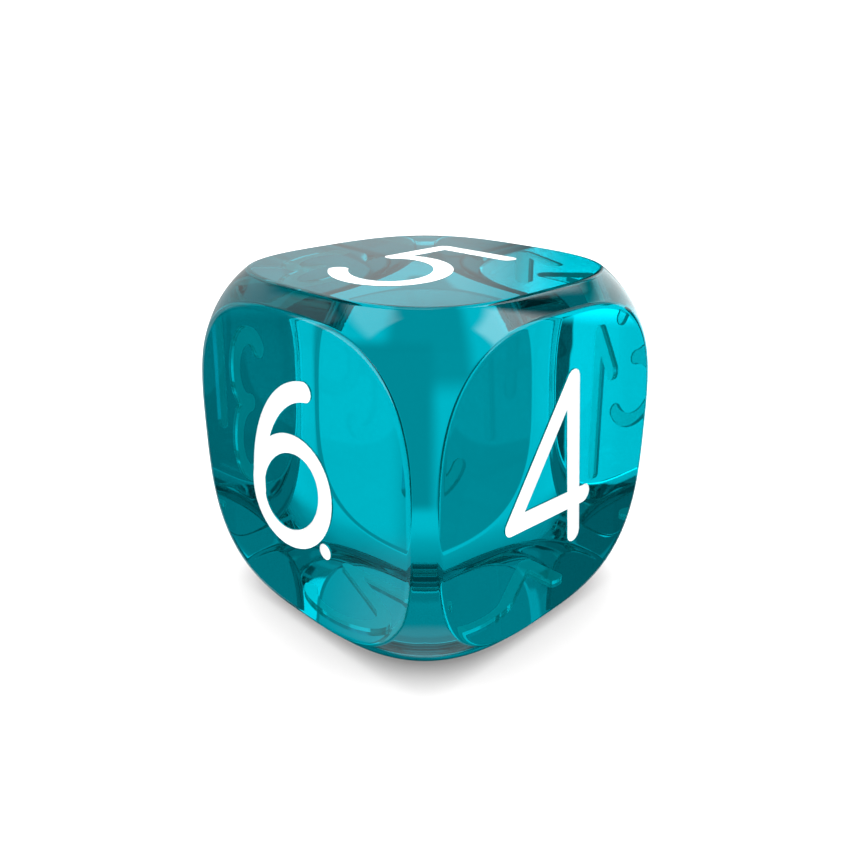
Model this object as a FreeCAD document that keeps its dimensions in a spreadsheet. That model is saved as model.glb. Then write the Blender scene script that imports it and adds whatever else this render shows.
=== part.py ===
import FreeCAD, Part
import math
import os

# Translucent six-sided game die with rounded edges and corners and inlaid numerals.
# Millimetres. The origin is the middle of the face the die rests on, +Z is up.
# The body is one moulding. Each numeral is a pocket in a flat face, partly filled with a white inlay.
#
# A numeral is drawn on its face in local coordinates: x to the reader's right, y up, z out of the face,
# with z = 0 at the pocket floor. Its strokes follow centre lines and have rounded ends.

Vector = FreeCAD.Vector

DIMENSIONS = (
    # the moulding
    ("side", 16.0),              # across two opposite flat faces
    ("flat_reach", 7.2),         # from a face's centre to the edge of its flat, along the face's axes
    ("rounding_power", 3.0),     # exponent of the rounding surface: 2 is a ball, larger is squarer
    # the inlays
    ("stroke_width", 0.9),
    ("pocket_depth", 0.2),
    ("inlay_thickness", 0.15),
    ("cutter_overshoot", 0.5),   # how far the pocket cutters stand out of the face
    # numeral 1: stem and flag
    ("one_top_x", 0.5), ("one_top_y", 4.0),
    ("one_foot_x", 0.5), ("one_foot_y", -3.6),
    ("one_flag_x", -1.4), ("one_flag_y", 2.2),
    # numeral 2: bowl, diagonal and base
    ("two_bowl_x", 0.0), ("two_bowl_y", 1.6),
    ("two_bowl_long", 2.4), ("two_bowl_short", 2.4), ("two_bowl_tilt", 0.0),
    ("two_bowl_from", -48.0), ("two_bowl_to", 165.0),
    ("two_heel_x", -2.4), ("two_heel_y", -3.6),
    ("two_toe_x", 2.4), ("two_toe_y", -3.6),
    # numeral 3: two bowls that meet on the centre line
    ("three_upper_x", 0.0), ("three_upper_y", 2.2),
    ("three_upper_long", 1.8), ("three_upper_short", 1.8), ("three_upper_tilt", 0.0),
    ("three_upper_from", -90.0), ("three_upper_to", 150.0),
    ("three_lower_x", 0.0), ("three_lower_y", -1.6),
    ("three_lower_long", 2.0), ("three_lower_short", 2.0), ("three_lower_tilt", 0.0),
    ("three_lower_from", -150.0), ("three_lower_to", 90.0),
    # numeral 4: stem, diagonal and crossbar
    ("four_apex_x", 0.87), ("four_apex_y", 4.16),
    ("four_foot_x", 1.72), ("four_foot_y", -3.54),
    ("four_heel_x", -2.84), ("four_heel_y", -1.48),
    ("four_bar_x", 2.3), ("four_bar_y", -1.72),
    # numeral 5: flag, and a bowl whose long axis leans; the stem runs from the corner to the bowl
    ("five_flag_x", 1.8), ("five_flag_y", 3.7),
    ("five_corner_x", -2.3), ("five_corner_y", 3.7),
    ("five_bowl_x", -0.31), ("five_bowl_y", -1.85),
    ("five_bowl_long", 2.9), ("five_bowl_short", 2.36), ("five_bowl_tilt", -46.0),
    ("five_bowl_from", -90.0), ("five_bowl_to", 180.0),
    # numeral 6: closed bowl whose long axis leans, spine, and the dot that tells it from a 9
    ("six_bowl_x", -0.4), ("six_bowl_y", -0.99),
    ("six_bowl_long", 2.68), ("six_bowl_short", 2.15), ("six_bowl_tilt", 43.0),
    ("six_spine_x", 1.4), ("six_spine_y", -1.67),
    ("six_spine_long", 5.74), ("six_spine_short", 4.19), ("six_spine_tilt", 90.0),
    ("six_spine_from", 5.4), ("six_spine_to", 89.3),
    ("six_dot_x", 1.88), ("six_dot_y", -3.07), ("six_dot_width", 0.74),
)

# For each numeral: the reader's right, up, and the outward normal of its face.
FACES = {
    "one": (Vector(-1, 0, 0), Vector(0, 0, 1), Vector(0, 1, 0)),
    "two": (Vector(1, 0, 0), Vector(0, -1, 0), Vector(0, 0, -1)),
    "three": (Vector(0, -1, 0), Vector(0, 0, 1), Vector(-1, 0, 0)),
    "four": (Vector(0, 1, 0), Vector(0, 0, 1), Vector(1, 0, 0)),
    "five": (Vector(1, 0, 0), Vector(0, 1, 0), Vector(0, 0, 1)),
    "six": (Vector(1, 0, 0), Vector(0, 0, 1), Vector(0, -1, 0)),
}

PATCH_POINTS = 9                 # per side of each of the 24 patches of the rounding surface
CUTTER_HEIGHT = "Dimensions.pocket_depth + Dimensions.cutter_overshoot"

doc = FreeCAD.newDocument("die")


def fill_sheet():
    sheet = doc.addObject("Spreadsheet::Sheet", "Dimensions")
    for row, (name, value) in enumerate(DIMENSIONS, start=1):
        sheet.set(f"A{row}", name)
        sheet.set(f"B{row}", str(value))
        sheet.setAlias(f"B{row}", name)
    doc.recompute()
    return sheet


def add(kind, label, **expressions):
    """A document object with the given label, whose properties follow the sheet."""
    made = doc.addObject(kind, label)
    made.Label = label
    for name, expression in expressions.items():
        made.setExpression(name, expression)
    return made


def rounding_patch(right, up, normal, power, radius):
    """A quarter of one face's share of the surface |x|^p + |y|^p + |z|^p = r^p."""
    steps = [math.tan(math.pi / 4 * k / (PATCH_POINTS - 1)) for k in range(PATCH_POINTS)]
    grid = []
    for across in steps:
        column = []
        for along in steps:
            ray = normal + right * across + up * along
            length = sum(abs(part) ** power for part in ray) ** (1 / power)
            column.append(ray * (radius / length))
        grid.append(column)
    surface = Part.BSplineSurface()
    surface.interpolate(grid)
    return surface.toShape()


def rounding_solid(sheet):
    """Solid of the rounding surface, sized so that the cube's faces cut it in the flats."""
    power = sheet.rounding_power
    half = sheet.side / 2
    radius = (half ** power + sheet.flat_reach ** power) ** (1 / power)
    patches = [rounding_patch(right * across, up * along, normal, power, radius)
               for right, up, normal in FACES.values()
               for across in (1, -1)
               for along in (1, -1)]
    shell = Part.makeShell(patches)
    shell.sewShape()
    solid = Part.makeSolid(Part.Shell(shell.Faces))
    if solid.Volume < 0:
        solid.reverse()
    made = doc.addObject("Part::Feature", "rounding_solid")
    made.Shape = solid
    made.Placement = FreeCAD.Placement(Vector(0, 0, half), FreeCAD.Rotation())
    return made


def blank_moulding(sheet):
    """The cube with its edges and corners rounded off, before the numerals are sunk."""
    cube = add("Part::Box", "cube", Length="Dimensions.side", Width="Dimensions.side", Height="Dimensions.side")
    cube.setExpression("Placement.Base.x", "-Dimensions.side / 2")
    cube.setExpression("Placement.Base.y", "-Dimensions.side / 2")
    blank = doc.addObject("Part::Common", "blank_moulding")
    blank.Base = cube
    blank.Tool = rounding_solid(sheet)
    return blank


def point(name):
    """The coordinates of a named point, as expressions."""
    return f"Dimensions.{name}_x", f"Dimensions.{name}_y"


def stroke_end(centre, label):
    """Round end, or round joint, of a stroke."""
    end = add("Part::Cylinder", label, Radius="Dimensions.stroke_width / 2", Height=CUTTER_HEIGHT)
    end.setExpression("Placement.Base.x", centre[0])
    end.setExpression("Placement.Base.y", centre[1])
    return end


def stroke_bar(start, end, label):
    """Straight stroke between two points."""
    run = f"({end[0]} - {start[0]})"
    rise = f"({end[1]} - {start[1]})"
    length = f"sqrt({run}^2 + {rise}^2)"
    half = "Dimensions.stroke_width / 2"
    bar = add("Part::Box", label, Length=length, Width="Dimensions.stroke_width", Height=CUTTER_HEIGHT)
    bar.setExpression("Placement.Rotation.Angle", f"atan2({rise}; {run})")
    bar.setExpression("Placement.Base.x", f"{start[0]} + {half} * {rise} / {length}")
    bar.setExpression("Placement.Base.y", f"{start[1]} - {half} * {run} / {length}")
    return bar


def open_path(*names):
    """Straight strokes through named points, with round joints and ends."""
    bars = [stroke_bar(point(start), point(end), f"{start}_to_{end}") for start, end in zip(names, names[1:])]
    return bars + [stroke_end(point(name), f"{name}_end") for name in names]


def elliptic_disc(name, label, grow):
    """Elliptic cylinder about a named centre, its radii those of the centre line plus an expression."""
    outline = add("Part::Ellipse", f"{label}_outline")
    outline.setExpression("MajorRadius", f"Dimensions.{name}_long + {grow}")
    outline.setExpression("MinorRadius", f"Dimensions.{name}_short + {grow}")
    outline.setExpression("Placement.Base.x", f"Dimensions.{name}_x")
    outline.setExpression("Placement.Base.y", f"Dimensions.{name}_y")
    outline.setExpression("Placement.Rotation.Angle", f"Dimensions.{name}_tilt * 1deg")
    disc = add("Part::Extrusion", label, LengthFwd=CUTTER_HEIGHT)
    disc.Base = outline
    disc.DirMode = "Custom"
    disc.Dir = Vector(0, 0, 1)
    disc.Solid = True
    return disc


def closed_bowl(name):
    """Ring-shaped stroke along a whole ellipse."""
    ring = doc.addObject("Part::Cut", f"{name}_ring")
    ring.Base = elliptic_disc(name, f"{name}_disc", "Dimensions.stroke_width / 2")
    ring.Tool = elliptic_disc(name, f"{name}_eye", "-Dimensions.stroke_width / 2")
    return ring


def bowl_end(name, which):
    """The point where an open bowl's centre line starts ("from") or stops ("to"), as expressions."""
    angle = f"(Dimensions.{name}_{which} * 1deg)"
    tilt = f"(Dimensions.{name}_tilt * 1deg)"
    along = f"Dimensions.{name}_long * cos{angle}"
    across = f"Dimensions.{name}_short * sin{angle}"
    return (f"(Dimensions.{name}_x + {along} * cos{tilt} - {across} * sin{tilt})",
            f"(Dimensions.{name}_y + {along} * sin{tilt} + {across} * cos{tilt})")


def open_bowl(name):
    """Curved stroke along part of an ellipse: a sector of its ring, with round ends."""
    start, stop = (f"atan2(Dimensions.{name}_short * sin(Dimensions.{name}_{which} * 1deg); "
                   f"Dimensions.{name}_long * cos(Dimensions.{name}_{which} * 1deg))" for which in ("from", "to"))
    sector = add("Part::Cylinder", f"{name}_sector", Radius="Dimensions.side", Height=CUTTER_HEIGHT,
                 Angle=f"mod({stop} - {start} + 360deg; 360deg)")
    sector.setExpression("Placement.Base.x", f"Dimensions.{name}_x")
    sector.setExpression("Placement.Base.y", f"Dimensions.{name}_y")
    sector.setExpression("Placement.Rotation.Angle", f"Dimensions.{name}_tilt * 1deg + {start}")
    stroke = doc.addObject("Part::Common", f"{name}_stroke")
    stroke.Base = closed_bowl(name)
    stroke.Tool = sector
    return [stroke] + [stroke_end(bowl_end(name, which), f"{name}_{which}_end") for which in ("from", "to")]


def place_on_face(made, name):
    """Stands a numeral's local frame on its face, with z = 0 at the pocket floor."""
    right, up, normal = FACES[name]
    made.Placement = FreeCAD.Placement(Vector(), FreeCAD.Rotation(right, up, normal, "ZXY"))
    for axis, part in zip("xyz", normal):
        lift = "Dimensions.side / 2" if axis == "z" else "0"
        floor = f"({part:g}) * (Dimensions.side / 2 - Dimensions.pocket_depth)"
        made.setExpression(f"Placement.Base.{axis}", f"{lift} + {floor}")


def joined_cutter(name, strokes, label):
    """A numeral's strokes joined into one cutter that stands on its face."""
    if len(strokes) > 1:
        cutter = doc.addObject("Part::MultiFuse", f"{label}_cutter")
        cutter.Shapes = strokes
    else:
        cutter = doc.addObject("Part::Compound", f"{label}_cutter")
        cutter.Links = strokes
    place_on_face(cutter, name)
    return cutter


def inlay(cutter, name, label):
    """The lower part of a pocket, filled: a numeral's cutter cut off at the inlay's surface."""
    level = add("Part::Cylinder", f"{label}_level", Radius="Dimensions.flat_reach",
                Height="Dimensions.inlay_thickness")
    place_on_face(level, name)
    made = doc.addObject("Part::Common", label)
    made.Label = label
    made.Base = cutter
    made.Tool = level
    return made


def six_dot():
    dot = add("Part::Cylinder", "six_dot_stroke", Radius="Dimensions.six_dot_width / 2", Height=CUTTER_HEIGHT)
    dot.setExpression("Placement.Base.x", "Dimensions.six_dot_x")
    dot.setExpression("Placement.Base.y", "Dimensions.six_dot_y")
    return dot


def numeral_cutters():
    """The numeral and the cutter of each inlay, keyed by the inlay's label."""
    two_diagonal = stroke_bar(bowl_end("two_bowl", "from"), point("two_heel"), "two_diagonal")
    five_stem = stroke_bar(point("five_corner"), bowl_end("five_bowl", "to"), "five_stem")
    strokes = {
        "one": open_path("one_foot", "one_top", "one_flag"),
        "two": open_bowl("two_bowl") + [two_diagonal] + open_path("two_heel", "two_toe"),
        "three": open_bowl("three_upper") + open_bowl("three_lower"),
        "four": open_path("four_foot", "four_apex", "four_heel", "four_bar"),
        "five": open_path("five_flag", "five_corner") + [five_stem] + open_bowl("five_bowl"),
        "six": open_bowl("six_spine") + [closed_bowl("six_bowl")],
        "six_dot": [six_dot()],
    }
    cutters = {}
    for label, parts in strokes.items():
        name = label.split("_")[0]
        cutters[f"{label}_inlay"] = (name, joined_cutter(name, parts, label))
    return cutters


def die_body(blank, cutters):
    """The moulding with every pocket cut into it."""
    pockets = doc.addObject("Part::MultiFuse", "pockets")
    pockets.Shapes = [cutter for _, cutter in cutters.values()]
    body = doc.addObject("Part::Cut", "die_body")
    body.Label = "die_body"
    body.Base = blank
    body.Tool = pockets
    return body


def check(sheet, body, blank, inlays):
    """Stops if anything failed to build or a pocket doesn't match its inlay."""
    for item in doc.Objects:
        if {"Invalid", "Error"} & set(item.State):
            raise RuntimeError(f"{item.Name} did not compute: {item.State}")
    for item in [body] + inlays:
        shape = item.Shape
        if shape.isNull() or not shape.isValid() or len(shape.Solids) != 1:
            raise RuntimeError(f"{item.Label} is not one valid solid")
        print(f"{item.Label}: {shape.Volume:.3f} mm3, {len(shape.Faces)} faces")
    pocket_volume = blank.Shape.Volume - body.Shape.Volume
    inlay_volume = sum(item.Shape.Volume for item in inlays)
    filled = inlay_volume / pocket_volume
    expected = sheet.inlay_thickness / sheet.pocket_depth
    print(f"blank {blank.Shape.Volume:.3f} mm3, pockets {pocket_volume:.3f} mm3, filled {filled:.4f}")
    if abs(filled - expected) > 0.01:
        raise RuntimeError(f"the inlays fill {filled:.3f} of the pockets, not {expected:.3f}")


def main():
    sheet = fill_sheet()
    blank = blank_moulding(sheet)
    cutters = numeral_cutters()
    inlays = [inlay(cutter, name, label) for label, (name, cutter) in cutters.items()]
    body = die_body(blank, cutters)
    doc.recompute()
    check(sheet, body, blank, inlays)
    os.makedirs("parts", exist_ok=True)
    for item in [body] + inlays:
        item.Shape.exportStep(f"parts/{item.Label}.step")


main()
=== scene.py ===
import math

import bmesh
import bpy
import numpy as np
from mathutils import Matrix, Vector
from mathutils.geometry import delaunay_2d_cdt


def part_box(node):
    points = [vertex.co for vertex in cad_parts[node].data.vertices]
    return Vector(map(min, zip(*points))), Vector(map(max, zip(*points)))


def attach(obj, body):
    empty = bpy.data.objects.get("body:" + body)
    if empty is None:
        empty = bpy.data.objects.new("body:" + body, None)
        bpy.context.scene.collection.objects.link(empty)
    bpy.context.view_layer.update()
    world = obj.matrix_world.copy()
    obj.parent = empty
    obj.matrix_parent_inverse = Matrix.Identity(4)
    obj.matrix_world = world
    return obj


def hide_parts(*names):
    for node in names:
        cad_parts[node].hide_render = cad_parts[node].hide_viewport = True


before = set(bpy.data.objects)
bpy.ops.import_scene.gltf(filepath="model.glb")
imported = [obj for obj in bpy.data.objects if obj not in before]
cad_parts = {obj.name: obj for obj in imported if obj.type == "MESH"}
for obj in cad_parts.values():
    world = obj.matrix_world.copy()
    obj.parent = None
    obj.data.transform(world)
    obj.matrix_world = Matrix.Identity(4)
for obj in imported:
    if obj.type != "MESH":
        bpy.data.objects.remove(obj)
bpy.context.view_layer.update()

# Translucent die with inlaid numerals. Metres, in the CAD frame: the origin is the middle of the face
# that the die rests on, +Z is up.

MM = 0.001
LOW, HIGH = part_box("die_body")
HALF = (HIGH.z - LOW.z) / 2
CENTRE = (LOW + HIGH) / 2

# The moulding: the cube's faces meet the surface |x|^p + |y|^p + |z|^p = r^p in rounded squares.
ROUNDING_POWER = 3.0
FLAT_REACH = 0.9              # of the half side
CREASE_BLEND = 0.012          # of the half side: how softly a flat turns into the rounded edge
ROUNDING_RADIUS = (1 + FLAT_REACH ** ROUNDING_POWER) ** (1 / ROUNDING_POWER)
SPOKES = 32                   # from the middle of a face's side to its corner
NUMERAL_ZONE = 0.8            # of the flat: the numerals lie inside it
# Rings of points from the flat over the crease, as shares of the way from the middle to the crease.
CREASE_RINGS = (NUMERAL_ZONE, 0.85, 0.9, 0.93, 0.95, *np.arange(0.96, 1.04, 0.004), 1.05, 1.065, 1.08, 1.1)
OUTER_RINGS = 10              # from the last crease ring to the edge of the face's share

# The inlays
STROKE = 0.9 * MM
POCKET_DEPTH = 0.2 * MM
RIM_DEPTH = 0.01 * MM         # from the flat down to the paint's edge on the pocket's wall
DIP = 0.13 * MM               # and from there down to the middle of the stroke
DIP_POWER = 6                 # how late the paint rises towards the wall
GAP = 0.004 * MM              # between an inlay and its pocket
ROW_SHARES = (0.0, 0.3, 0.55, 0.75, 0.86, 0.93, 0.97, 0.99)   # of half a stroke: rows of points across it
POINT_SPACING = 0.2           # millimetres between points along a straight stroke
BOW_STEPS = 64                # between points along a curved stroke
CAP_STEPS = 10                # round half of a stroke's end
SHARPEST_BEND = 0.2           # radians that a stroke's side may turn without an arc or a mitre
ROW_SLACK = 0.97              # of a row's distance: nearer points belong to a neighbouring stroke
CUT_TOLERANCE = 1e-4          # millimetres

# How the meshes are cleaned
BODY_WELD = 1e-7              # metres
INLAY_WELD = 1e-8
BODY_SHARP_ANGLE = 35         # degrees between faces, from which an edge is sharp
INLAY_SHARP_ANGLE = 45

# For each numeral: the reader's right, up, and the outward normal of its face.
FACES = {
    "one": (Vector((-1, 0, 0)), Vector((0, 0, 1)), Vector((0, 1, 0))),
    "two": (Vector((1, 0, 0)), Vector((0, -1, 0)), Vector((0, 0, -1))),
    "three": (Vector((0, -1, 0)), Vector((0, 0, 1)), Vector((-1, 0, 0))),
    "four": (Vector((0, 1, 0)), Vector((0, 0, 1)), Vector((1, 0, 0))),
    "five": (Vector((1, 0, 0)), Vector((0, 1, 0)), Vector((0, 0, 1))),
    "six": (Vector((1, 0, 0)), Vector((0, 0, 1)), Vector((0, -1, 0))),
}


# ---------------------------------------------------------------- numeral strokes

def line(*corners):
    """Centre line through corners given in millimetres on the face, with points along it."""
    points = [np.array(corners[0], float)]
    for start, end in zip(corners[:-1], corners[1:]):
        start, end = np.array(start, float), np.array(end, float)
        steps = max(1, int(math.dist(start, end) / POINT_SPACING))
        points += [start + (end - start) * k / steps for k in range(1, steps + 1)]
    return [np.array(points) * MM]


def bow(centre, radii, tilt, start, stop):
    """Centre line along part of an ellipse: centre and radii in millimetres, angles in degrees."""
    turn = np.radians(np.linspace(start, stop, BOW_STEPS + 1))
    lean = math.radians(tilt)
    along = radii[0] * np.cos(turn)
    across = radii[1] * np.sin(turn)
    x = centre[0] + along * math.cos(lean) - across * math.sin(lean)
    y = centre[1] + along * math.sin(lean) + across * math.cos(lean)
    return [np.stack([x, y], 1) * MM]


def end_of(path, last=True):
    """The last, or first, point of a centre line, in millimetres."""
    return tuple(path[0][-1 if last else 0] / MM)


TWO_BOWL = bow((0, 1.6), (2.4, 2.4), 0, 165, -48)
FIVE_BOWL = bow((-0.31, -1.85), (2.9, 2.36), -46, 180, -90)

# Each numeral's centre lines. One that ends where it starts is closed.
STROKES = {
    "one": line((0.5, -3.6), (0.5, 4.0), (-1.4, 2.2)),
    "two": TWO_BOWL + line(end_of(TWO_BOWL), (-2.4, -3.6), (2.4, -3.6)),
    "three": bow((0, 2.2), (1.8, 1.8), 0, 150, -90) + bow((0, -1.6), (2.0, 2.0), 0, 90, -150),
    "four": line((1.72, -3.54), (0.87, 4.16), (-2.84, -1.48), (2.3, -1.72)),
    "five": line((1.8, 3.7), (-2.3, 3.7), end_of(FIVE_BOWL, last=False)) + FIVE_BOWL,
    "six": bow((1.4, -1.67), (5.74, 4.19), 90, 5.4, 89.3) + bow((-0.4, -0.99), (2.68, 2.15), 43, 0, 360),
}
DOT_CENTRE = np.array((1.88, -3.07)) * MM
DOT_RADIUS = 0.37 * MM
DOT_STEP = 0.001 * MM         # across and up, between the two points of its centre line


def strokes_of(name):
    """An inlay's centre lines, and half the width of its strokes."""
    if name == "six_dot":
        return [np.array([DOT_CENTRE, DOT_CENTRE + DOT_STEP])], DOT_RADIUS
    return STROKES[name], STROKE / 2


def distance_to(points, paths):
    """Distance from each point to the nearest centre line."""
    starts = np.concatenate([path[:-1] for path in paths])
    ends = np.concatenate([path[1:] for path in paths])
    run = ends - starts
    length = np.maximum((run ** 2).sum(1), 1e-18)
    away = points[:, None, :] - starts[None]
    share = np.clip((away * run[None]).sum(2) / length, 0, 1)
    return np.linalg.norm(away - share[..., None] * run[None], axis=2).min(1)


def heading(step):
    return math.atan2(step[1], step[0])


def unit(angle):
    return np.array((math.cos(angle), math.sin(angle)))


def parallel(path, offset):
    """Closed outlines at a distance from a centre line: both sides of a closed line, or all round an open
    one, with round ends and round outer corners."""
    if np.allclose(path[0], path[-1]):
        run = np.roll(path[:-1], -1, 0) - np.roll(path[:-1], 1, 0)
        side = np.stack([-run[:, 1], run[:, 0]], 1) / np.linalg.norm(run, axis=1)[:, None]
        return [path[:-1] + side * offset, path[:-1] - side * offset]
    there_and_back = list(path) + list(path[-2:0:-1])
    outline = []
    for i, corner in enumerate(there_and_back):
        before = heading(corner - there_and_back[i - 1])
        after = heading(there_and_back[(i + 1) % len(there_and_back)] - corner)
        start = before - math.pi / 2
        turn = (after - before + math.pi) % (2 * math.pi) - math.pi
        if i in (0, len(path) - 1):
            turn = math.pi
        if turn < -SHARPEST_BEND:
            outline.append(corner + offset / math.cos(turn / 2) * unit(start + turn / 2))
        elif turn > SHARPEST_BEND:
            steps = round(CAP_STEPS * turn / math.pi * 2)
            outline += [corner + offset * unit(start + turn * (k / steps)) for k in range(steps + 1)]
        else:
            outline.append(corner + offset * unit(start + turn / 2))
    return [np.array(outline)]


def rows_across(path, paths, half):
    """Rows of points along a centre line and beside it, without those inside a neighbouring stroke's row."""
    rows = []
    for share in ROW_SHARES:
        row = path if share == 0 else np.concatenate(parallel(path, half * share))
        rows.append(row[distance_to(row, paths) > half * share * ROW_SLACK - 1e-9])
    return rows


def sheet_with_numeral(boundary, names):
    """Flat triangle mesh of the region inside the boundary, cut along the outlines of the named inlays.
    Without a boundary the mesh holds no more than the inlays.

    Returns the points, the triangles, and for each triangle which of the names it belongs to, or -1."""
    drawn = [strokes_of(name) for name in names]
    loops_and_rows = [(boundary, True)] if boundary is not None else []
    for paths, half in drawn:
        for path in paths:
            loops_and_rows += [(outline, True) for outline in parallel(path, half)]
            loops_and_rows += [(row, False) for row in rows_across(path, paths, half)]
    edges = []
    count = 0
    for points, is_loop in loops_and_rows:
        if is_loop:
            edges += [(count + i, count + (i + 1) % len(points)) for i in range(len(points))]
        count += len(points)
    flat = np.concatenate([points for points, _ in loops_and_rows])
    scale = 1 / MM
    made = delaunay_2d_cdt([Vector(point * scale) for point in flat], edges, [], 0, CUT_TOLERANCE)
    flat = np.array([tuple(point) for point in made[0]]) / scale
    triangles = np.array(made[2])
    middles = flat[triangles].mean(1)
    owner = np.full(len(triangles), -1)
    for k, (paths, half) in enumerate(drawn):
        owner[distance_to(middles, paths) < half] = k
    return flat, triangles, owner


def border_edges(triangles):
    """Edges that only one of the triangles has, in that triangle's direction."""
    edges = {}
    for a, b, c in triangles:
        for start, end in ((a, b), (b, c), (c, a)):
            if (end, start) in edges:
                del edges[(end, start)]
            else:
                edges[(start, end)] = True
    return list(edges)


# ---------------------------------------------------------------- meshes

def place(name, x, y, depth):
    """Points on a face, from face coordinates and depth below the flat, in the frame."""
    right, up, normal = (np.array(v) for v in FACES[name])
    base = np.array(CENTRE) + normal * HALF
    x, y, depth = np.broadcast_arrays(x, y, depth)
    return base + x[..., None] * right + y[..., None] * up - depth[..., None] * normal


def smooth_min(a, b, blend):
    overlap = np.maximum(blend - np.abs(a - b), 0) / blend
    return np.minimum(a, b) - overlap ** 2 * blend / 4


def skin_reach(across, along):
    """How far along the ray (1, across, along) the moulding's surface lies, in half sides."""
    length = (1 + np.abs(across) ** ROUNDING_POWER + np.abs(along) ** ROUNDING_POWER) ** (1 / ROUNDING_POWER)
    return smooth_min(np.ones_like(length), ROUNDING_RADIUS / length, CREASE_BLEND)


def face_rays():
    """Directions (across, along) round the square that bounds a face's share, anticlockwise."""
    steps = np.tan(np.pi / 4 * np.arange(-SPOKES, SPOKES) / SPOKES)
    one = np.ones_like(steps)
    sides = [(one, steps), (-steps, one), (-one, -steps), (steps, -one)]
    return np.concatenate([np.stack(side, 1) for side in sides])


def rim_rings(rays):
    """Rings from the numeral zone out to the square, as multiples of the rays."""
    crease = FLAT_REACH / (np.abs(rays) ** ROUNDING_POWER).sum(1) ** (1 / ROUNDING_POWER)
    rings = [crease * share for share in CREASE_RINGS]
    last = rings[-1]
    return rings + [last + (1 - last) * k / OUTER_RINGS for k in range(1, OUTER_RINGS + 1)]


def add_mesh(name, vertices, faces):
    mesh = bpy.data.meshes.new(name)
    mesh.from_pydata([tuple(v) for v in vertices], [], [tuple(int(i) for i in f) for f in faces])
    mesh.polygons.foreach_set("use_smooth", [True] * len(mesh.polygons))
    mesh.validate()
    piece = bpy.data.objects.new(name, mesh)
    bpy.context.scene.collection.objects.link(piece)
    return piece


def weld(piece, distance):
    """Joins vertices that lie together, and turns all faces outward."""
    work = bmesh.new()
    work.from_mesh(piece.data)
    bmesh.ops.remove_doubles(work, verts=work.verts, dist=distance)
    bmesh.ops.recalc_face_normals(work, faces=work.faces)
    work.to_mesh(piece.data)
    work.free()


def drop_unused(piece):
    """Deletes vertices that no face uses."""
    work = bmesh.new()
    work.from_mesh(piece.data)
    bmesh.ops.delete(work, geom=[v for v in work.verts if not v.link_faces], context="VERTS")
    work.to_mesh(piece.data)
    work.free()


def pocketed_flat(name, edge, first):
    """A face's flat inside the given edge, with its pockets. Vertices are numbered from first.

    Returns the vertices, the faces of the flat, and the faces of the pockets."""
    inlays = ["six", "six_dot"] if name == "six" else [name]
    flat, triangles, owner = sheet_with_numeral(edge, inlays)
    vertices = [place(name, flat[:, 0], flat[:, 1], depth) for depth in (0.0, POCKET_DEPTH)]
    floor = first + len(flat)
    sunk = triangles[owner >= 0]
    plain = [tuple(first + t) for t in triangles[owner < 0]]
    pocket = [tuple(floor + t) for t in sunk]
    pocket += [(first + a, first + b, floor + b, floor + a) for a, b in border_edges(sunk)]
    return np.concatenate(vertices), plain, pocket


def rounded_rim(name, rays, rings, first):
    """Vertices and faces from a flat's edge over the crease to the edge of the face's share."""
    vertices = []
    for ring in rings:
        across, along = (rays * ring[:, None]).T
        reach = skin_reach(across, along)
        vertices.append(place(name, reach * across * HALF, reach * along * HALF, (1 - reach) * HALF))
    spokes = len(rays)
    faces = []
    for start in range(first, first + spokes * (len(rings) - 1), spokes):
        for i in range(spokes):
            j = (i + 1) % spokes
            faces.append((start + i, start + j, start + spokes + j, start + spokes + i))
    return np.concatenate(vertices), faces


def body_mesh():
    """The moulding: on each face a flat with its pockets, and the rounded rim out to the next faces."""
    rays = face_rays()
    rings = rim_rings(rays)
    vertices = np.empty((0, 3))
    faces = []
    pocket_faces = []
    for name in FACES:
        points, plain, pocket = pocketed_flat(name, rays * rings[0][:, None] * HALF, len(vertices))
        vertices = np.concatenate([vertices, points])
        faces += plain
        pocket_faces += range(len(faces), len(faces) + len(pocket))
        faces += pocket
        points, rim = rounded_rim(name, rays, rings, len(vertices))
        vertices = np.concatenate([vertices, points])
        faces += rim
    piece = add_mesh("die_moulding", vertices, faces)
    for k in pocket_faces:
        piece.data.polygons[k].material_index = 1
    weld(piece, BODY_WELD)
    drop_unused(piece)
    piece.data.set_sharp_from_angle(angle=math.radians(BODY_SHARP_ANGLE))
    return piece


def inlay_mesh(name):
    """An inlay: its open surface sags between the pocket's walls, and its underside lies on the floor."""
    face = name.split("_")[0]
    paths, half = strokes_of(name)
    flat, triangles, owner = sheet_with_numeral(None, [name])
    triangles = triangles[owner == 0]
    spread = np.clip(distance_to(flat, paths) / half, 0, 1)
    top = place(face, flat[:, 0], flat[:, 1], RIM_DEPTH + DIP * (1 - spread ** DIP_POWER))
    bottom = place(face, flat[:, 0], flat[:, 1], POCKET_DEPTH - GAP)
    count = len(flat)
    faces = [tuple(t) for t in triangles] + [tuple(count + t[::-1]) for t in triangles]
    faces += [(b, a, count + a, count + b) for a, b in border_edges(triangles)]
    piece = add_mesh(f"{name}_paint", np.concatenate([top, bottom]), faces)
    drop_unused(piece)
    weld(piece, INLAY_WELD)
    piece.data.set_sharp_from_angle(angle=math.radians(INLAY_SHARP_ANGLE))
    return piece


# ---------------------------------------------------------------- node helpers

def feed(tree, sockets, values):
    """Sets each socket to a number, or links it to another node's output."""
    for socket, value in zip(sockets, values):
        if isinstance(value, (int, float)):
            socket.default_value = value
        else:
            tree.links.new(value, socket)


def math_node(tree, operation, *values):
    node = tree.nodes.new("ShaderNodeMath")
    node.operation = operation
    feed(tree, node.inputs, values)
    return node.outputs[0]


def number_mix(tree, factor, first, second):
    node = tree.nodes.new("ShaderNodeMix")
    feed(tree, node.inputs[:1] + node.inputs[2:4], (factor, first, second))
    return node.outputs[0]


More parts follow.
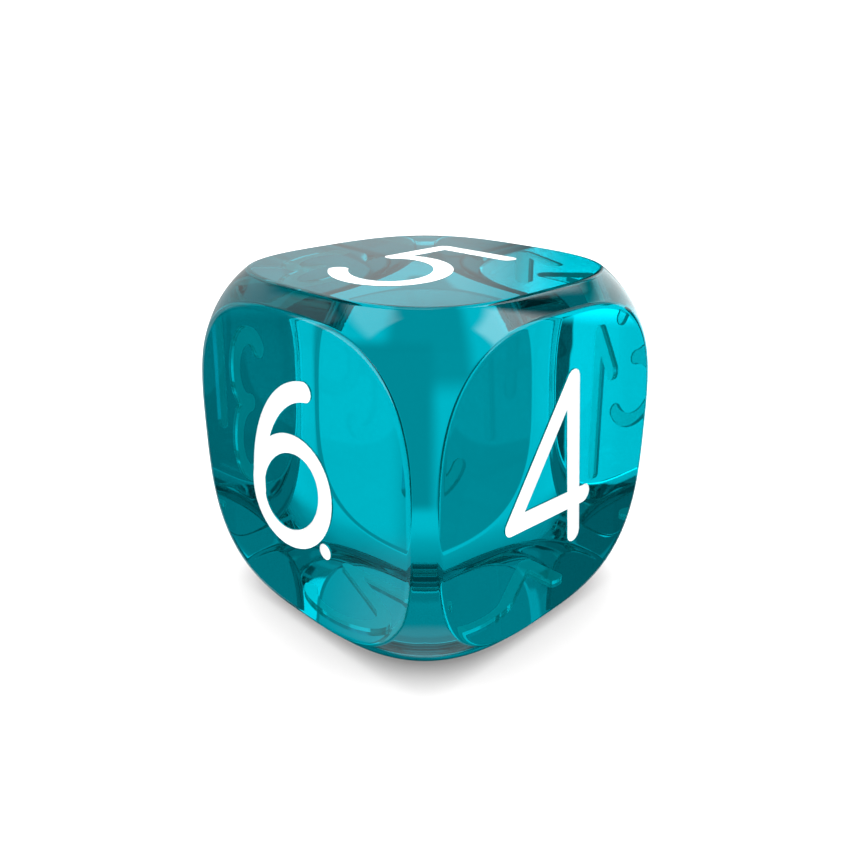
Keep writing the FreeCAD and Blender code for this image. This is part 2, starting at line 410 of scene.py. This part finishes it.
def shader_mix(tree, factor, first, second):
    node = tree.nodes.new("ShaderNodeMixShader")
    feed(tree, node.inputs, (factor, first, second))
    return node.outputs["Shader"]


def map_range(tree, value, low, high, at_low, at_high, kind="LINEAR"):
    """at_low where the value is low or less, at_high where it is high or more, and between them a ramp."""
    node = tree.nodes.new("ShaderNodeMapRange")
    node.interpolation_type = kind
    feed(tree, node.inputs, (value, low, high, at_low, at_high))
    return node.outputs["Result"]


def noise(tree, scale, detail):
    """Noise over the piece's own coordinates: scale is in features per metre."""
    where = tree.nodes.new("ShaderNodeTexCoord")
    node = tree.nodes.new("ShaderNodeTexNoise")
    node.inputs["Scale"].default_value = scale
    node.inputs["Detail"].default_value = detail
    tree.links.new(where.outputs["Object"], node.inputs["Vector"])
    return node.outputs["Fac"]


def grey_ramp(tree, value, dark, light):
    node = tree.nodes.new("ShaderNodeValToRGB")
    for element, grey in zip(node.color_ramp.elements, (dark, light)):
        element.color = (grey, grey, grey, 1)
    tree.links.new(value, node.inputs["Fac"])
    return node.outputs["Color"]


def bump(tree, height, strength, distance):
    node = tree.nodes.new("ShaderNodeBump")
    node.inputs["Strength"].default_value = strength
    node.inputs["Distance"].default_value = distance
    tree.links.new(height, node.inputs["Height"])
    return node.outputs["Normal"]


def new_material(name):
    """A material with nothing but its output node."""
    material = bpy.data.materials.new(name)
    material.use_nodes = True
    material.node_tree.nodes.clear()
    out = material.node_tree.nodes.new("ShaderNodeOutputMaterial")
    return material, material.node_tree, out


# ---------------------------------------------------------------- materials

TINT = (0, 0.806, 1, 1)       # of the acrylic, each time light enters it
DEPTH_COLOUR = (0.0, 0.9753, 0.9753, 1)
DEPTH_DENSITY = 430           # with the colour above, how fast light fades on its way through
IOR = 1.553
SHADOW_TINT = 0.5             # how much light the body lets through to what lies in its shadow
BOUNCED_LIGHT = 0.3           # what the body sends on to the floor and the paint: a painted glow that diffuse rays see on the body
POCKET_PAINTED_GLOW = 0.35             # painted glow: the pocket paint shines by itself, standing in for daylight that comes through the paint into the body
PAINT_SHARE = 0.3             # of a pocket's look from inside the body: the rest is bare acrylic
FLOOR_GREY = 0.68


def acrylic_surface(tree):
    node = tree.nodes.new("ShaderNodeBsdfPrincipled")
    node.inputs["Base Color"].default_value = TINT
    node.inputs["Transmission Weight"].default_value = 1.0
    node.inputs["Roughness"].default_value = 0.0
    node.inputs["IOR"].default_value = IOR
    return node


def teal_acrylic():
    """Polished translucent acrylic: faint moulding waves on the surface, colour from its skin and depth. To
    diffuse rays it shows a painted even glow.
    """
    material, tree, out = new_material("teal_acrylic")
    surface = acrylic_surface(tree)
    waves = noise(tree, scale=260, detail=2)
    tree.links.new(bump(tree, waves, strength=0.1, distance=0.02 * MM), surface.inputs["Normal"])
    depth = tree.nodes.new("ShaderNodeVolumeAbsorption")
    depth.inputs["Color"].default_value = DEPTH_COLOUR
    depth.inputs["Density"].default_value = DEPTH_DENSITY
    shadow = tree.nodes.new("ShaderNodeBsdfTransparent")
    shadow.inputs["Color"].default_value = (SHADOW_TINT, SHADOW_TINT, SHADOW_TINT, 1)
    # painted glow: to diffuse rays the body is an even glow of its own, standing in for light bounced
    # through it
    bounced = tree.nodes.new("ShaderNodeEmission")
    bounced.inputs["Strength"].default_value = BOUNCED_LIGHT
    rays = tree.nodes.new("ShaderNodeLightPath").outputs
    shader = shader_mix(tree, rays["Is Shadow Ray"], surface.outputs["BSDF"], shadow.outputs["BSDF"])
    shader = shader_mix(tree, rays["Is Diffuse Ray"], shader, bounced.outputs["Emission"])
    tree.links.new(shader, out.inputs["Surface"])
    tree.links.new(depth.outputs["Volume"], out.inputs["Volume"])
    return material


def painted_pocket():
    """The pocket's floor and walls, where the paint holds to the acrylic: seen only through the body. The
    paint carries a painted glow of its own.
    """
    material, tree, out = new_material("painted_pocket")
    paint = tree.nodes.new("ShaderNodeBsdfPrincipled")
    paint.inputs["Roughness"].default_value = 0.6
    paint.inputs["Specular IOR Level"].default_value = 0.0
    # painted glow: the paint emits light of its own, though it is no lamp
    paint.inputs["Emission Color"].default_value = (1, 1, 1, 1)
    paint.inputs["Emission Strength"].default_value = POCKET_PAINTED_GLOW
    clouds = noise(tree, scale=900, detail=2)
    tree.links.new(grey_ramp(tree, clouds, dark=0.26, light=0.34), paint.inputs["Base Color"])
    bare = acrylic_surface(tree)
    shader = shader_mix(tree, PAINT_SHARE, bare.outputs["BSDF"], paint.outputs["BSDF"])
    tree.links.new(shader, out.inputs["Surface"])
    return material


def white_paint():
    """Satin white paint with a fine grain."""
    material, tree, out = new_material("white_inlay")
    paint = tree.nodes.new("ShaderNodeBsdfPrincipled")
    paint.inputs["Roughness"].default_value = 0.5
    grain = noise(tree, scale=2500, detail=3)
    tree.links.new(grey_ramp(tree, grain, dark=0.80, light=0.86), paint.inputs["Base Color"])
    tree.links.new(bump(tree, grain, strength=0.15, distance=0.01 * MM), paint.inputs["Normal"])
    tree.links.new(paint.outputs["BSDF"], out.inputs["Surface"])
    return material


def floor_paint():
    material, tree, out = new_material("studio_floor")
    paint = tree.nodes.new("ShaderNodeBsdfDiffuse")
    paint.inputs["Color"].default_value = (FLOOR_GREY, FLOOR_GREY, FLOOR_GREY, 1)
    tree.links.new(paint.outputs["BSDF"], out.inputs["Surface"])
    return material


# ---------------------------------------------------------------- studio

AWAY = Vector((-1, 1, 0)).normalized()     # level, from the camera past the die
RIGHT = Vector((1, 1, 0)).normalized()

# Soft cards round the die, each from and to an azimuth (right of straight behind the die), from and to
# an elevation, the width of its soft edge, all in degrees, and its brightness. A later card covers an
# earlier one. The first list is what shines through the die, the second what mirrors in its surface.
REFRACTED_CARDS = (
    (-135, -58, -95, 95, 8, 0.2),
    (62, 130, -95, 95, 8, 0.36),
    (128, 150, 22, 48, 6, 0.12),
    (-195, 195, 57, 71, 6, 0.55),
    (-38, 20, -8, 16, 8, 0.52),
    (22, 52, 16, 58, 8, 1.5),
    (-34, -1, 28, 45, 4, 0.68),
    (-104, -92, -6, 17, 4, 1.05),
    (-66, 62, -68, -8, 8, 1.15),
    (-30, 34, -66, -5, 26, 0.98),
    (-9, 8, -60, -31, 4, 0.58),
    (-1.5, 22, -38, -14, 3, 0.52),
    (-106, -66, -50, -8, 5, 1.25),
    (-109, -104, -26, -12, 3, 1.2),
    (62, 130, -66, -8, 6, 0.28),
    (133, 195, -33, -15, 5, 1.45),
    (-195, -133, -33, -15, 5, 1.45),
    (-100.4, -95, -45, -8, 0.2, 0.1),
    (95, 100.3, -45, -8, 0.6, 0.25),
    (-115, -93, -14.5, -6, 1.5, 1.5),
    (-115, -97, -14.5, -6, 1.5, 2.6),
    (92, 112, -14, -7, 2, 0.54),
    (-195, 195, -95, -66, 8, 1.0),
)
MIRRORED_CARDS = (
    (-70, 62, -42, -7, 6, 0.9),
    (-75, 6, -7, 32, 8, 0.78),
    (-80, -58, 28, 44, 6, 0.65),
    (20, 52, -12, 24, 8, 2.0),
    (50, 68, 0, 24, 8, 2.0),
    (28, 56, 32, 58, 8, 2.3),
    (71, 108, 31, 57, 8, 4.2),
    (71, 108, 8, 31, 8, 0.8),
    (84, 108, 8, 27, 6, 1.2),
    (-125, -84, -4, 5, 3, 2.3),
    (-125, -84, 5, 24, 4, 0.9),
    (-112, -62, 50, 74, 8, 1.9),
    (-20, 8, 48, 66, 8, 0.8),
    (-128, -85, -55, -33, 8, 0.6),
    (-195, 195, -95, -66, 8, 0.5),
)
# What lights the floor and the paint: wide soft lights above.
LIGHTING_CARDS = (
    (-80, 80, 18, 110, 25, 5.0),
    (95, 145, 35, 80, 20, 5.4),
    (-145, -95, 35, 80, 20, 5.4),
)
REFRACTED_BASE = 0.42
MIRRORED_BASE = 0.0
LIGHTING_BASE = 1.0
BACKDROP = 1.6                # behind everything, as the camera sees it
FEW_BOUNCES = 5               # light that has met no more surfaces than this is undimmed
MANY_BOUNCES = 8
LEFT_AFTER_MANY = 0.3
MOST_BOUNCES = 24

CAMERA_DISTANCE = 5.153       # in half sides
CAMERA_ELEVATION = 22.3
LENS = 35.15                  # on the default 36 mm sensor
NEAR_CLIP = 0.001
FLOOR_REACH = 60              # in half sides


def soft_between(tree, value, low, high, soft):
    """1 between low and high, falling to 0 over the width of the soft edge."""
    rise = map_range(tree, value, low - soft / 2, low + soft / 2, 0, 1, "SMOOTHSTEP")
    fall = map_range(tree, value, high - soft / 2, high + soft / 2, 1, 0, "SMOOTHSTEP")
    return math_node(tree, "MULTIPLY", rise, fall)


def card_light(tree, azimuth, elevation, base, cards):
    """Brightness by direction: the base, with each card laid over it in turn."""
    light = base
    for az_from, az_to, el_from, el_to, soft, strength in cards:
        share = math_node(tree, "MULTIPLY", soft_between(tree, azimuth, az_from, az_to, soft),
                          soft_between(tree, elevation, el_from, el_to, soft))
        light = number_mix(tree, share, light, strength)
    return light


def make_world():
    world = bpy.data.worlds.new("studio")
    bpy.context.scene.world = world
    world.use_nodes = True
    tree = world.node_tree
    tree.nodes.clear()
    where = tree.nodes.new("ShaderNodeTexCoord").outputs["Generated"]

    def along(axis):
        node = tree.nodes.new("ShaderNodeVectorMath")
        node.operation = "DOT_PRODUCT"
        node.inputs[1].default_value = axis
        tree.links.new(where, node.inputs[0])
        return node.outputs["Value"]

    azimuth = math_node(tree, "DEGREES", math_node(tree, "ARCTAN2", along(RIGHT), along(AWAY)))
    elevation = math_node(tree, "DEGREES", math_node(tree, "ARCSINE", along(Vector((0, 0, 1)))))
    rays = tree.nodes.new("ShaderNodeLightPath").outputs
    refracted = card_light(tree, azimuth, elevation, REFRACTED_BASE, REFRACTED_CARDS)
    left = map_range(tree, rays["Ray Depth"], FEW_BOUNCES, MANY_BOUNCES, 1.0, LEFT_AFTER_MANY)
    refracted = math_node(tree, "MULTIPLY", refracted, left)
    mirrored = card_light(tree, azimuth, elevation, MIRRORED_BASE, MIRRORED_CARDS)
    lighting = card_light(tree, azimuth, elevation, LIGHTING_BASE, LIGHTING_CARDS)
    strength = number_mix(tree, rays["Is Transmission Ray"], mirrored, refracted)
    strength = number_mix(tree, rays["Is Diffuse Ray"], strength, lighting)
    strength = number_mix(tree, rays["Is Camera Ray"], strength, BACKDROP)
    light = tree.nodes.new("ShaderNodeBackground")
    tree.links.new(strength, light.inputs["Strength"])
    out = tree.nodes.new("ShaderNodeOutputWorld")
    tree.links.new(light.outputs["Background"], out.inputs["Surface"])
    world.cycles.sampling_method = "NONE"     # a card is seen only by the kind of ray that it is for


def make_floor():
    size = FLOOR_REACH * HALF
    corners = [(-size, -size, 0), (size, -size, 0), (size, size, 0), (-size, size, 0)]
    mesh = bpy.data.meshes.new("floor")
    mesh.from_pydata(corners, [], [(0, 1, 2, 3)])
    floor = bpy.data.objects.new("floor", mesh)
    bpy.context.scene.collection.objects.link(floor)
    floor.location.z = LOW.z
    mesh.materials.append(floor_paint())
    floor.visible_transmission = False
    floor.visible_glossy = False


def make_camera():
    data = bpy.data.cameras.new("camera")
    data.lens = LENS
    data.clip_start = NEAR_CLIP
    camera = bpy.data.objects.new("camera", data)
    bpy.context.scene.collection.objects.link(camera)
    lift = math.radians(CAMERA_ELEVATION)
    back = -AWAY * math.cos(lift) + Vector((0, 0, math.sin(lift)))
    camera.location = CENTRE + back * CAMERA_DISTANCE * HALF
    camera.rotation_euler = (-back).to_track_quat("-Z", "Y").to_euler()
    bpy.context.scene.camera = camera


def set_light_paths():
    """Light may cross the body often, and nothing is blurred on its way."""
    paths = bpy.context.scene.cycles
    paths.max_bounces = MOST_BOUNCES
    paths.glossy_bounces = MOST_BOUNCES
    paths.transmission_bounces = MOST_BOUNCES
    paths.blur_glossy = 0


# ---------------------------------------------------------------- build

def dress(piece, body, slot, materials, *nodes):
    for material in materials:
        piece.data.materials.append(material)
    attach(piece, body)
    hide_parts(*nodes)


make_camera()
dress(body_mesh(), "root", "teal_acrylic", [teal_acrylic(), painted_pocket()], "die_body")
paint = white_paint()
for inlay in ("one", "two", "three", "four", "five", "six", "six_dot"):
    piece = inlay_mesh(inlay)
    piece.visible_transmission = False     # from inside the body the painted pocket is what shows
    dress(piece, "root", "white_inlay", [paint], f"{inlay}_inlay")
make_world()
make_floor()
set_light_paths()
bpy.context.scene.view_settings.view_transform = "Standard"
